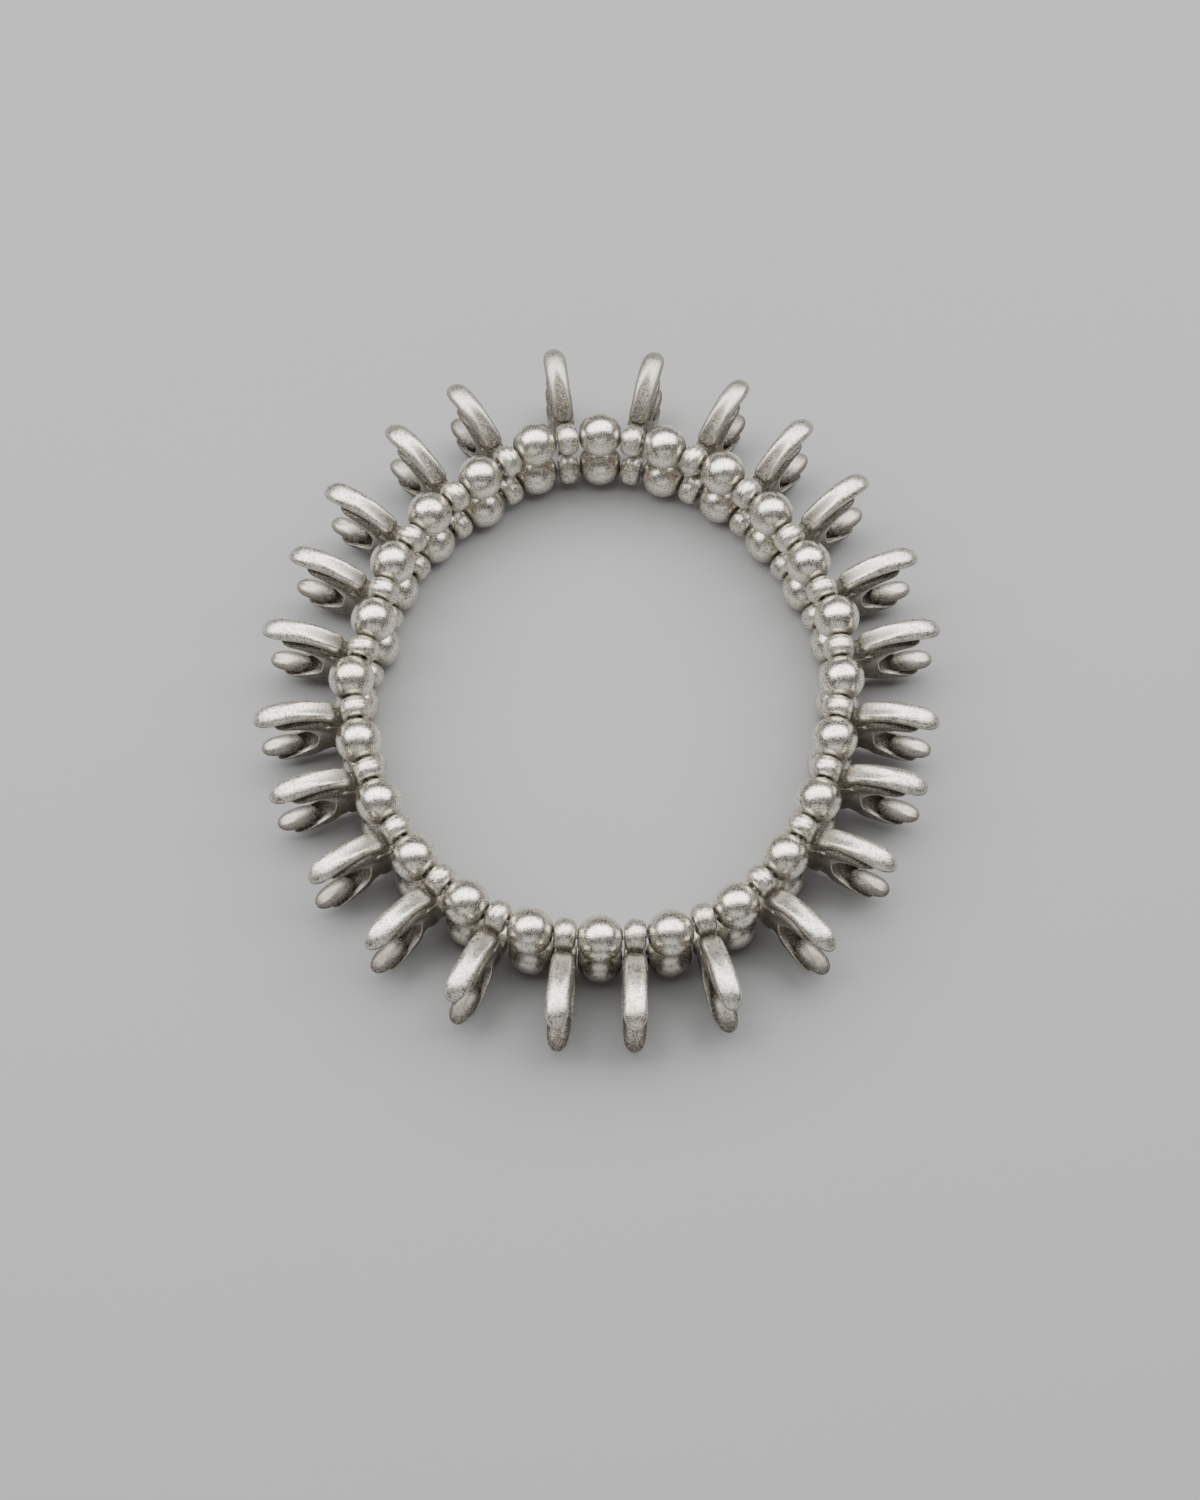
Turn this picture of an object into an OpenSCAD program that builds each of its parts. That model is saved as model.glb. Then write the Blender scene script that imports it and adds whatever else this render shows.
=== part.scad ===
// Stretch bracelet of round beads and forked charms on two elastic cords.
// Millimetres, +Z up. The bracelet lies flat on z = 0 and is centred on x = y = 0.
// Each charm is one casting: two tubes, one on each cord, and a fork that stands outwards from them.

/* [Loop] */
// Half width of the loop of beads, left to right
loop_half_w = 29.3; // [29.3:0.1:31]
// Half depth of the loop of beads, front to back
loop_half_d = 33.2; // [33.2:0.1:35]
// Distance between the two cords, one above the other
cord_spacing = 7.2; // [6.6:0.1:8]

/* [Beads] */
// Diameter of a round bead
bead_d = 5.5; // [5:0.1:5.5]
// Diameter of the hole through a bead
bead_hole_d = 1.6; // [1.6:0.1:2]
// Diameter of the elastic cord
elastic_d = 0.5; // [0.3:0.1:0.5]

/* [Tubes] */
// Outer diameter of a charm's tube over its two round ribs
tube_d = 3.7; // [3.4:0.1:3.8]
// Diameter of the hole through a tube
tube_hole_d = 1.4; // [1.4:0.1:1.7]

/* [Fork] */
// How far the upper prong reaches out from the cords
prong_reach = 12.1; // [11.5:0.1:12.6]
// Width of the upper prong
prong_w = 2.8; // [2.4:0.1:3]
// Thickness of the upper prong
prong_t = 1.5; // [1.2:0.1:1.7]
// Width of the finger that lies in the lower cup
finger_w = 2.2; // [1.8:0.1:2.3]
// Thickness of the finger
finger_t = 1.4; // [1:0.1:1.5]
// Widest part of the lower cup
cup_w = 3.4; // [3.2:0.1:3.5]
// Wall of the lower cup
cup_wall = 0.35; // [0.3:0.05:0.5]

/* [Hidden] */
UNITS = 24;
$fn = 48;

// How each unit lies, counted anticlockwise from the back. Columns: how far its bead sits outside
// the oval, in mm, and how far its charm is turned on the cords, in degrees.
BEAD_OUT = 0;
CHARM_TURN = 1;
LAYOUT = [
    [0.5, 0], [-0.8, 2], [-0.4, 5], [-0.4, 4], [-1, -5], [0.5, 9],
    [0.2, 4], [0.2, 3], [0.3, 5], [0.2, 1], [0, 0], [-0.3, 2],
    [0.3, -5], [0.7, -8], [0.2, -5], [-0.2, 1], [-0.6, -1], [-0.3, -6],
    [0.3, 5], [-0.3, -6], [-0.3, 4], [0, 3], [0.1, -6], [0.6, -3]];
// Turn of the oval's parameter that spaces the beads evenly, in degrees
spacing_ease = 1.75;
// Middle of the oval, which centres the whole bracelet with its uneven charms
middle = [0.1, -0.2];

lower_z = bead_d / 2;
upper_z = lower_z + cord_spacing;
silver = [0.78, 0.76, 0.72];
elastic_grey = [0.72, 0.72, 0.72];

// Ribs of a tube: two rounds side by side on a slimmer core
rib_r = 0.6;
rib_x = 0.62;
core_r = 1.35;
core_half = 1;

// Fork, seen from its side: x outwards from the cords, z up from the upper cord.
// The upper prong is an arc about prong_c that ends in a round pad.
prong_r = 8.5;
prong_root_deg = 138;
prong_tip_deg = 77;
prong_c = [prong_reach - prong_w / 2 - prong_r * cos(prong_tip_deg), -5.7];
fin_t = 0.3;
fin_w = prong_w + 0.2;
fin_tip_deg = 83;
// The finger is a flat arc about finger_c
finger_r = 14;
finger_mid_deg = 90;
finger_span_deg = 11;
finger_c = [9.7, -6.1 - finger_r];
stem = [1.4, 1, 1.6];
// The cup's keel is an arc about keel_c, and its rim falls from the root to a sharp lip
keel_c = [5.1, 0.6];
keel_r = 10.05;
floor_t = 0.6;
rim = [[2.2, -0.6], [3.9, 0.5], [4.4, -3.2], [10.3, -8]];
cup_low = -11;
// Seen from above the cup's sides are two flat arcs, and seen from its end its bottom is round
side_x = 4.5;
side_r = 50;
cavity_x = 4.4;
root_w = 2.2;

function charm_name(i) = str("charm_", i < 10 ? "0" : "", i);
// Bead i stands after charm i, and bead 24 closes the loop at the back
function bead_xy(i) =
    let (p = 90 + i * 360 / UNITS,
         t = p - spacing_ease * sin(2 * p),
         out = LAYOUT[(i + UNITS - 1) % UNITS][BEAD_OUT])
    middle + [(loop_half_w + out) * cos(t), (loop_half_d + out) * sin(t)];
function along(a, b) = atan2(b[1] - a[1], b[0] - a[0]);
// Direction of the cords at charm i, and at bead i
function charm_deg(i) = along(bead_xy(i - 1), bead_xy(i));
function bead_deg(i) =
    let (a = bead_xy(i - 1), b = bead_xy(i), c = bead_xy(i + 1),
         u = (b - a) / norm(b - a) + (c - b) / norm(c - b))
    atan2(u[1], u[0]);

// Flat round-ended bar section, its long way along y
module stadium(w, t) {
    square([t, w - t], center = true);
    for (s = [-1, 1]) translate([0, s * (w - t) / 2]) circle(d = t);
}

// Arc-shaped bar in the x z plane about c, from one angle to another, with a round pad at the first
module arc_bar(c, r, tip_deg, root_deg, w, t) {
    translate([c[0], 0, c[1]]) {
        rotate([90, 0, 0]) rotate([0, 0, tip_deg])
            rotate_extrude(angle = root_deg - tip_deg) translate([r, 0]) stadium(w, t);
        arc_pad(r, tip_deg, w, t);
    }
}

module arc_pad(r, deg, w, t) {
    rotate([0, 90 - deg, 0]) translate([0, 0, r]) rotate_extrude() {
        translate([0, -t / 2]) square([(w - t) / 2, t]);
        intersection() {
            translate([(w - t) / 2, 0]) circle(d = t);
            translate([0, -t]) square([w, 2 * t]);
        }
    }
}

// Two-ribbed tube along y
module tube() {
    rotate([90, 0, 0]) rotate_extrude() {
        translate([0, -core_half]) square([core_r, 2 * core_half]);
        for (s = [-1, 1]) translate([tube_d / 2 - rib_r, s * rib_x]) circle(r = rib_r);
    }
}

// Upright slice of the cup, between its rim and its keel
module cup_slice(lift) {
    intersection() {
        translate(keel_c) circle(r = keel_r - lift);
        polygon(concat(rim, [[rim[3][0], cup_low], [rim[0][0], cup_low]]));
    }
}

// Long upright block of width w with two bowed sides and a round bottom
module cup_block(w, bottom) {
    intersection() {
        translate([0, 0, cup_low]) linear_extrude(-2 * cup_low) intersection_for (s = [-1, 1])
            translate([side_x, s * (side_r - w / 2)]) circle(r = side_r);
        translate([0, 0, bottom + w / 2]) rotate([0, 90, 0]) union() {
            cylinder(d = w, h = -2 * cup_low, center = true);
            translate([cup_low, -w / 2, cup_low]) cube([-cup_low, w, -2 * cup_low]);
        }
    }
}

module cup() {
    keel_low = keel_c[1] - keel_r;
    difference() {
        intersection() {
            rotate([90, 0, 0]) linear_extrude(cup_w, center = true) cup_slice(0);
            cup_block(cup_w, keel_low);
        }
        intersection() {
            rotate([90, 0, 0]) linear_extrude(cup_w, center = true) difference() {
                translate([0, 1]) cup_slice(floor_t);
                translate([0, cup_low]) square([cavity_x, -2 * cup_low]);
            }
            cup_block(cup_w - 2 * cup_wall, keel_low + floor_t);
        }
    }
}

// Web that joins the two tubes to the prong and the cup
module root() {
    rotate([90, 0, 0]) linear_extrude(root_w, center = true) polygon([
        [0.4, -1.2], [1.7, -1], [2.5, -0.3], [3.6, 0.9], [4.5, 1], [4.3, -1.4],
        [cavity_x, -cord_spacing - 1.5], [2.4, -cord_spacing - 1.6], [0.4, -cord_spacing - 1]]);
}

// Thin fin under the upper prong
module fin() {
    fin_r = prong_r - prong_t / 2;
    translate([prong_c[0], 0, prong_c[1]]) rotate([90, 0, 0]) rotate([0, 0, fin_tip_deg])
        rotate_extrude(angle = prong_root_deg - fin_tip_deg)
            translate([fin_r - fin_t / 2, -fin_w / 2]) square([fin_t, fin_w]);
}

module finger() {
    arc_bar(finger_c, finger_r, finger_mid_deg - finger_span_deg / 2,
            finger_mid_deg + finger_span_deg / 2, finger_w, finger_t);
    translate([finger_c[0], 0, finger_c[1]])
        arc_pad(finger_r, finger_mid_deg + finger_span_deg / 2, finger_w, finger_t);
    // Stem that stands on the floor of the cup
    translate([finger_c[0] - stem[0], -stem[1] / 2, finger_c[1] + finger_r - stem[2]]) cube(stem);
}

module charm_casting() {
    difference() {
        union() {
            tube();
            translate([0, 0, -cord_spacing]) tube();
            root();
            arc_bar(prong_c, prong_r, prong_tip_deg, prong_root_deg, prong_w, prong_t);
            fin();
            cup();
            finger();
        }
        for (z = [0, -cord_spacing]) translate([0, 0, z]) rotate([90, 0, 0])
            cylinder(d = tube_hole_d, h = 2 * tube_d, center = true);
    }
}

module charm(i) {
    mid = (bead_xy(i - 1) + bead_xy(i)) / 2;
    color(silver) translate([mid[0], mid[1], upper_z])
        rotate([0, 0, charm_deg(i) + LAYOUT[i - 1][CHARM_TURN] - 90]) charm_casting();
}

// Round bead, drilled along z
module bead() {
    rotate_extrude() difference() {
        circle(d = bead_d);
        translate([-bead_d, -bead_d]) square([bead_d + bead_hole_d / 2, 2 * bead_d]);
    }
}

module beads(z) {
    color(silver) for (i = [1:UNITS])
        translate([bead_xy(i)[0], bead_xy(i)[1], z]) rotate([0, 90, bead_deg(i)]) bead();
}

// Closed cord through every hole: straight in the tubes and eased round inside each bead, where
// its corner lies a little outside the bead's middle
cord_sides = 8;
cord_lead = 0.12;
cord_ease = 2.4;
cord_steps = 3;
function cord_corner(i) =
    bead_xy(i) * (1 + cord_lead) - (bead_xy(i - 1) + bead_xy(i + 1)) * cord_lead / 2;
function cord_at(i, s) =
    let (a = cord_corner(i - 1), b = cord_corner(i), c = cord_corner(i + 1),
         from = b - cord_ease * (b - a) / norm(b - a),
         to = b + cord_ease * (c - b) / norm(c - b))
    (1 - s) * (1 - s) * from + 2 * s * (1 - s) * b + s * s * to;
CORD = [for (i = [1:UNITS], k = [0:cord_steps]) cord_at(i, k / cord_steps)];

module elastic(z) {
    count = len(CORD);
    points = [for (j = [0:count - 1])
        let (d = CORD[(j + 1) % count] - CORD[(j + count - 1) % count], n = [-d[1], d[0]] / norm(d))
        for (k = [0:cord_sides - 1])
            let (a = k * 360 / cord_sides, r = elastic_d / 2)
            [CORD[j][0] + n[0] * r * cos(a), CORD[j][1] + n[1] * r * cos(a), z + r * sin(a)]];
    faces = [for (j = [0:count - 1], k = [0:cord_sides - 1])
        let (m = (j + 1) % count, q = (k + 1) % cord_sides)
        each [[j * cord_sides + k, j * cord_sides + q, m * cord_sides + q],
              [j * cord_sides + k, m * cord_sides + q, m * cord_sides + k]]];
    color(elastic_grey) polyhedron(points, faces);
}

module upper_beads() { beads(upper_z); }
module lower_beads() { beads(lower_z); }
module upper_elastic() { elastic(upper_z); }
module lower_elastic() { elastic(lower_z); }

for (i = [1:UNITS]) charm(i);
upper_beads();
lower_beads();
upper_elastic();
lower_elastic();
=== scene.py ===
"""Finish of a silver-toned stretch bracelet: cast charms, drilled beads, elastic cords and a plain stage."""

import math

import bpy
import numpy as np
from bpy.props import FloatProperty, FloatVectorProperty, IntProperty, PointerProperty
from mathutils import Matrix, Vector, noise
from mathutils.bvhtree import BVHTree


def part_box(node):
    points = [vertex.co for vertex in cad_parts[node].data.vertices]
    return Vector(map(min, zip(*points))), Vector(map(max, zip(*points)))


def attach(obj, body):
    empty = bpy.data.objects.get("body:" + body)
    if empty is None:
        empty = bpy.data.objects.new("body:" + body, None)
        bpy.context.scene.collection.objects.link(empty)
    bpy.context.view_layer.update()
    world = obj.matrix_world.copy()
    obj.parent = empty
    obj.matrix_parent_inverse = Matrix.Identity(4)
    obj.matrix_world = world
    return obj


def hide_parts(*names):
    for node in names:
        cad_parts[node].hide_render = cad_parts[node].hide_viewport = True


bl_info = {
    "name": "Stretch Bracelet",
    "version": (1, 0, 0),
    "blender": (4, 5, 0),
    "location": "3D View > Sidebar > Bracelet",
    "description": "Builds a stretch bracelet of round beads and forked charms around its frame",
    "category": "Add Mesh",
}

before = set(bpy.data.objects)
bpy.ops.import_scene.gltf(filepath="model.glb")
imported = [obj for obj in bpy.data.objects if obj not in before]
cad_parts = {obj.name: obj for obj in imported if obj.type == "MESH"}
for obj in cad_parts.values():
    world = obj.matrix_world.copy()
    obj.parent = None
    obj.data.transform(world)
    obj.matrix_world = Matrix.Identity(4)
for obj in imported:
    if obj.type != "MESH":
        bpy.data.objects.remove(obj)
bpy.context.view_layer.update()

MM = 0.001
UNITS = 24
# How each unit lies, counted anticlockwise from the back. Columns: how far its bead sits outside
# the oval, in mm, and how far its charm is turned on the cords, in degrees
BEAD_OUT, CHARM_TURN = 0, 1
LAYOUT = [
    (0.5, 0), (-0.8, 2), (-0.4, 5), (-0.4, 4), (-1, -5), (0.5, 9),
    (0.2, 4), (0.2, 3), (0.3, 5), (0.2, 1), (0, 0), (-0.3, 2),
    (0.3, -5), (0.7, -8), (0.2, -5), (-0.2, 1), (-0.6, -1), (-0.3, -6),
    (0.3, 5), (-0.3, -6), (-0.3, 4), (0, 3), (0.1, -6), (0.6, -3)]
# Turn of the oval's parameter that spaces the beads evenly
SPACING_EASE = math.radians(1.75)
# Middle of the oval in plan, in mm
OVAL_MIDDLE = (0.1, -0.2)
# Turn from each unit to the next that keeps neighbours unlike, in radians
UNLIKE_TURN = 2.4
# Boxes of the two strings, which give the beads' size and the height of the cords
BEAD_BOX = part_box("lower_beads")
UPPER_BEAD_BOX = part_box("upper_beads")


def length(name, description, default_mm):
    """A size in mm that the sidebar shows as a length."""
    return FloatProperty(name=name, description=description, default=default_mm * MM, min=0,
                         subtype="DISTANCE", unit="LENGTH", precision=5)


def colour(name, description, default):
    """A colour that the sidebar shows as a swatch."""
    return FloatVectorProperty(name=name, description=description, default=default, min=0, max=1,
                               subtype="COLOR")


def share(name, description, default):
    """A number from 0 to 1 that the sidebar shows as a slider."""
    return FloatProperty(name=name, description=description, default=default, min=0, max=1,
                         subtype="FACTOR")


class BraceletLoop(bpy.types.PropertyGroup):
    """Sizes of the loop and its beads."""
    half_width: length("Half Width", "From the middle of the loop to the cords at its side", 29.3)
    half_depth: length("Half Depth", "From the middle of the loop to the cords at its front", 33.2)
    bead_diameter: length("Bead Diameter", "Outer diameter of a bead", (BEAD_BOX[1].z - BEAD_BOX[0].z) / MM)
    bead_hole: length("Bead Hole", "Diameter of the hole through a bead", 1.6)
    cord_spacing: length("Cord Spacing", "From the lower cord up to the upper cord",
                         (UPPER_BEAD_BOX[0].z - BEAD_BOX[0].z) / MM)


class BraceletCharm(bpy.types.PropertyGroup):
    """Sizes of one forked charm."""
    tube_hole: length("Tube Hole", "Diameter of the hole through a tube", 1.4)
    prong_width: length("Prong Width", "Widest part of the upper prong", 2.8)
    prong_thickness: length("Prong Thickness", "Thickness of the upper prong", 1.55)
    channel_depth: length("Channel Depth", "Depth of the channel along the top of the prong", 0.22)
    finger_width: length("Finger Width", "Widest part of the lower finger", 2.6)
    finger_thickness: length("Finger Thickness", "Thickness of the lower finger", 1.65)
    cup_width: length("Cup Width", "Widest part of the lower cup", 3.15)
    cup_wall: length("Cup Wall", "Thickness of the cup's rim", 0.34)
    unevenness: length("Unevenness", "How far a casting strays from its pattern", 0.07)
    triangles: IntProperty(name="Triangles", description="Triangles in one charm", default=30000, min=4000)


class BraceletFinish(bpy.types.PropertyGroup):
    """Colours and wear of the plating."""
    silver: colour("Silver", "Colour of the bare plating", (0.95, 0.835, 0.735))
    # The patina colour also paints the shade that the charms and beads store along with their film
    patina_and_shade: colour("Patina", "Colour of the dark film in the recesses", (0.125, 0.108, 0.086))
    charm_patina: share("Charm Patina", "How much film is left on the charms", 0.55)
    bead_patina: share("Bead Patina", "How much film is left on the beads", 0.12)
    elastic: colour("Elastic", "Colour of the elastic cord", (0.72, 0.72, 0.70))


class BraceletStage(bpy.types.PropertyGroup):
    """Colours, lights and camera angle of the stage."""
    floor: colour("Floor", "Colour of the floor", (0.36, 0.36, 0.36))
    key_power: FloatProperty(name="Key Light", description="Power of the large light overhead",
                             default=10.4, min=0)
    fill_power: FloatProperty(name="Fill Light", description="Power of the light in front",
                              default=0.4, min=0)
    sky: share("Surround", "Brightness of the plain surround", 0.15)
    elevation: FloatProperty(name="Camera Elevation", description="Angle of the camera above the floor",
                             default=math.radians(66.5), subtype="ANGLE", unit="ROTATION")


def settings():
    """What the sidebar holds."""
    return bpy.context.scene.bracelet


class Value:
    """A shader's number socket; an expression on it adds its Math nodes."""

    def __init__(self, paint, socket):
        self.paint = paint
        self.socket = socket

    def math(self, operation, *values, clamp=False):
        """Adds a Math node and gives its result."""
        made = self.paint.node("ShaderNodeMath", {"operation": operation, "use_clamp": clamp},
                               dict(enumerate(values)))
        return Value(self.paint, made.outputs[0])

    def __add__(self, other):
        return self.math("ADD", self, other)

    def __sub__(self, other):
        return self.math("SUBTRACT", self, other)

    def __rsub__(self, other):
        return self.math("SUBTRACT", other, self)

    def __mul__(self, other):
        return self.math("MULTIPLY", self, other)

    def __truediv__(self, other):
        return self.math("DIVIDE", self, other)

    def __rtruediv__(self, other):
        return self.math("DIVIDE", other, self)

    __radd__ = __add__
    __rmul__ = __mul__

    def clamped(self):
        """Kept from 0 to 1."""
        return self.math("ADD", self, 0.0, clamp=True)


class Paint:
    """A new node material, and the ways of adding to it."""

    def __init__(self, name):
        self.material = bpy.data.materials.new(name)
        self.material.use_nodes = True
        self.tree = self.material.node_tree
        self.tree.nodes.clear()
        self.shader = self.node("ShaderNodeBsdfPrincipled")
        self.node("ShaderNodeOutputMaterial", {}, {"Surface": self.shader.outputs[0]})

    def node(self, kind, options=None, sockets=None):
        """Adds a node: its options first, then the value or link of each named socket."""
        made = self.tree.nodes.new(kind)
        for key, option in (options or {}).items():
            setattr(made, key, option)
        for key, given in (sockets or {}).items():
            self.connect(made.inputs[key], given)
        return made

    def connect(self, socket, given):
        """Links what is given to a socket, or sets it as the socket's value."""
        if isinstance(given, Value):
            given = given.socket
        if isinstance(given, bpy.types.NodeSocket):
            self.tree.links.new(given, socket)
        elif socket.type == "RGBA":
            socket.default_value = (*given[:3], 1)
        else:
            socket.default_value = given

    def value(self, node, output):
        """The node's output as a Value."""
        return Value(self, node.outputs[output])

    def place(self):
        """The point on the object, in mm."""
        point = self.node("ShaderNodeTexCoord").outputs["Object"]
        scaled = self.node("ShaderNodeVectorMath", {"operation": "SCALE"}, {0: point, "Scale": 1 / MM})
        return scaled.outputs[0]

    def cloud(self, place, size_mm, detail=3.0, roughness=0.55):
        """Even noise whose lumps are about size_mm across."""
        made = self.node("ShaderNodeTexNoise", {"noise_dimensions": "3D"},
                         {"Vector": place, "Scale": 1 / size_mm, "Detail": detail, "Roughness": roughness})
        return self.value(made, "Fac")

    def mixed(self, factor, first, second):
        """A colour from first to second as factor goes from 0 to 1."""
        made = self.node("ShaderNodeMix", {"data_type": "RGBA"}, {"Factor": factor, 6: first, 7: second})
        return made.outputs[2]

    def attribute(self, name):
        """A number that the mesh stores at its points."""
        return self.value(self.node("ShaderNodeAttribute", {"attribute_name": name}), "Fac")

    def bump(self, height, distance):
        """A normal that a height of 1 lifts by the distance."""
        made = self.node("ShaderNodeBump", {}, {"Height": height, "Distance": distance, "Strength": 1.0})
        return made.outputs[0]

    def finish(self, **sockets):
        """Sets the Principled shader's own sockets and gives the material."""
        for key, given in sockets.items():
            self.connect(self.shader.inputs[key.replace("_", " ")], given)
        return self.material


# Sizes of the plating's grain, specks and mottling, in mm
GRAIN, SPECK, MOTTLE = 0.14, 0.34, 1.4
# How much of the stored film and painted shade is needed before the dark shows, with no patina and with all
# of it, and to cover
FILM_STARTS_BARE, FILM_STARTS_DARK, FILM_RANGE = 0.37, 0.07, 0.6
# Darkest and lightest plating, as shares of the silver's colour
DULL, BRIGHT = 0.4, 1.16


def silver_material(name, patina_and_shade, satin, relief, contrast, tone):
    """Plated casting with a fine grain, small pits and a dark film: patina in its recesses, and painted shade
    wherever the mesh stores it.
    """
    finish = settings().finish
    paint = Paint(name)
    place = paint.place()
    grain = paint.cloud(place, GRAIN, 1.0) - 0.5
    speck = paint.cloud(place, SPECK, 2.0, 0.6) - 0.5
    mottle = paint.cloud(place, MOTTLE) - 0.5
    # The stored level holds patina in recesses and painted shade on side, low and sheltered faces; the clouds
    # roughen its edge
    film_and_shade_level = paint.attribute("film_and_shade") + mottle * 0.4 + speck * 0.9 + grain
    film_starts = FILM_STARTS_BARE + (FILM_STARTS_DARK - FILM_STARTS_BARE) * patina_and_shade
    sparkle = ((grain + speck * 0.7 + 0.04) / 0.28).clamped()
    darkening = ((film_and_shade_level - film_starts) / FILM_RANGE).clamped() * (1.0 - sparkle * 0.55)
    pits = ((speck + grain * 0.8 - 0.12) / 0.12).clamped()
    dark = (darkening + pits * (0.08 + patina_and_shade * 0.48)).clamped()
    tint = (tone + (speck * 3.4 + grain * 4.2 + mottle * 1.4) * contrast).clamped()
    bare = paint.mixed(tint, [c * DULL for c in finish.silver], [min(c * BRIGHT, 1) for c in finish.silver])
    rough = satin + dark * 0.16 + grain * 0.2
    normal = paint.bump(grain + speck * 0.6, relief * MM)
    return paint.finish(Base_Color=paint.mixed(dark, bare, finish.patina_and_shade), Roughness=rough,
                        Metallic=1.0 - darkening * 0.35, Normal=normal)


def elastic_material():
    """Matt stretchy cord with faint streaks."""
    paint = Paint("elastic_cord")
    streak = paint.cloud(paint.place(), 0.5)
    shade = settings().finish.elastic
    tone = paint.mixed(streak, [c * 0.86 for c in shade], shade)
    return paint.finish(Base_Color=tone, Roughness=0.42 + streak * 0.15, Subsurface_Weight=0.1)


def floor_material():
    """Plain pale floor."""
    paint = Paint("floor")
    shade = settings().stage.floor
    speck = paint.cloud(paint.place(), 40)
    return paint.finish(Base_Color=paint.mixed(speck, [c * 0.98 for c in shade], shade), Roughness=0.75)


def bead_at(i):
    """Middle of bead i in plan, in mm. Bead i stands after charm i."""
    loop = settings().loop
    p = math.radians(90 + i * 360 / UNITS)
    t = p - SPACING_EASE * math.sin(2 * p)
    out = LAYOUT[(i - 1) % UNITS][BEAD_OUT]
    return Vector((OVAL_MIDDLE[0] + (loop.half_width / MM + out) * math.cos(t),
                   OVAL_MIDDLE[1] + (loop.half_depth / MM + out) * math.sin(t)))


def direction(a, b):
    """Angle of the line from a to b in plan."""
    return math.atan2(b.y - a.y, b.x - a.x)


def bead_direction(i):
    """Direction of the hole through bead i in plan."""
    a, b, c = bead_at(i - 1), bead_at(i), bead_at(i + 1)
    u = (b - a).normalized() + (c - b).normalized()
    return math.atan2(u.y, u.x)


def cord_heights():
    """Heights of the lower and the upper cord, in mm."""
    loop = settings().loop
    low = loop.bead_diameter / MM / 2
    return low, low + loop.cord_spacing / MM


def charm_matrix(i):
    """Place of charm i, from its own mm to the frame's metres."""
    a, b = bead_at(i - 1), bead_at(i)
    middle = (a + b) / 2
    turn = direction(a, b) + math.radians(LAYOUT[i - 1][CHARM_TURN]) - math.pi / 2
    return (Matrix.Scale(MM, 4) @ Matrix.Translation((middle.x, middle.y, cord_heights()[1]))
            @ Matrix.Rotation(turn, 4, "Z"))


def mesh_object(name, points, faces, smooth=True):
    """New mesh object in the scene, smooth-shaded unless told otherwise."""
    mesh = bpy.data.meshes.new(name)
    mesh.from_pydata([tuple(p) for p in points], [], faces)
    mesh.validate()
    made = bpy.data.objects.new(name, mesh)
    bpy.context.scene.collection.objects.link(made)
    if smooth:
        mesh.shade_smooth()
    else:
        mesh.shade_flat()
    return made


def skin(rings, ends=True):
    """Points and faces of a closed form through rings of as many points. Without ends it closes on itself."""
    count, around = len(rings), len(rings[0])
    points = np.concatenate(rings)
    faces = []
    for j in range(count - 1 if ends else count):
        m = (j + 1) % count
        for k in range(around):
            q = (k + 1) % around
            faces.append((j * around + k, j * around + q, m * around + q, m * around + k))
    if ends:
        faces.append(tuple(reversed(range(around))))
        faces.append(tuple(range((count - 1) * around, count * around)))
    return points, faces


def lathe(profile, sides, along="y"):
    """Closed form from a closed profile of (along, radius) turned about an axis."""
    rings = []
    for k in range(sides):
        a = -2 * math.pi * k / sides
        if along == "y":
            rings.append(np.array([(r * math.cos(a), y, r * math.sin(a)) for y, r in profile]))
        else:
            rings.append(np.array([(x, r * math.sin(a), r * math.cos(a)) for x, r in profile]))
    return skin(rings, ends=False)


def smoothstep(a, b, x):
    """Goes smoothly from 0 to 1 as x goes from a to b."""
    t = min(max((x - a) / (b - a), 0), 1)
    return t * t * (3 - 2 * t)


def rising(x, start, full):
    """Goes straight from 0 to 1 as each x goes from start to full, which may lie below start."""
    return np.clip((x - start) / (full - start), 0, 1)


def superellipse(angle, power):
    """Place on a rounded square with half sides of 1: a power of 2 gives a circle, a higher one squarer."""
    c, d = math.cos(angle), math.sin(angle)
    return math.copysign(abs(c) ** (2 / power), c), math.copysign(abs(d) ** (2 / power), d)


def curve(table, x):
    """Smooth value at x through a short table of (x, value) rows."""
    for (x0, v0), (x1, v1) in zip(table, table[1:]):
        if x <= x1:
            return v0 + (v1 - v0) * smoothstep(x0, x1, x)
    return table[-1][1]


def flowing(table, x):
    """Value at x on a smooth line through a short table of (x, value) rows, which never overshoots them."""
    xs, values = np.array(table, float).T
    slopes = np.diff(values) / np.diff(xs)
    before, after = slopes[:-1], slopes[1:]
    turning = before * after <= 0
    inner = np.where(turning, 0, 2 * before * after / np.where(turning, 1, before + after))
    tangents = np.concatenate([slopes[:1], inner, slopes[-1:]])
    i = int(np.clip(np.searchsorted(xs, x) - 1, 0, len(slopes) - 1))
    width = xs[i + 1] - xs[i]
    t = min(max((x - xs[i]) / width, 0), 1)
    blend = t * t * (3 - 2 * t)
    bend = t * (1 - t) * width * ((1 - t) * tangents[i] - t * tangents[i + 1])
    return float(values[i] + (values[i + 1] - values[i]) * blend + bend)


def at_row(rows, x):
    """Values of a table's other columns at x, which is its first one."""
    return [flowing([(row[0], row[c]) for row in rows], x) for c in range(1, len(rows[0]))]


def tube_parts(z):
    """Barrel along y at height z, with a shallow groove round its middle."""
    hole = settings().charm.tube_hole / MM / 2
    half, end, bulge, fullness = 1.28, 1.0, 1.0, 2.1
    groove, groove_width, chamfer = 0.05, 0.17, 0.1
    profile = [(-half + chamfer, hole), (half - chamfer, hole)]
    steps = 48
    for j in range(steps + 1):
        y = half * math.cos(math.pi * j / steps)
        r = end + bulge * (1 - min(abs(y) / half, 1) ** fullness) ** (1 / fullness)
        profile.append((y, r - groove * math.exp(-(y / groove_width) ** 2)))
    points, faces = lathe(profile, 64)
    points[:, 2] += z
    return points, faces


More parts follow.
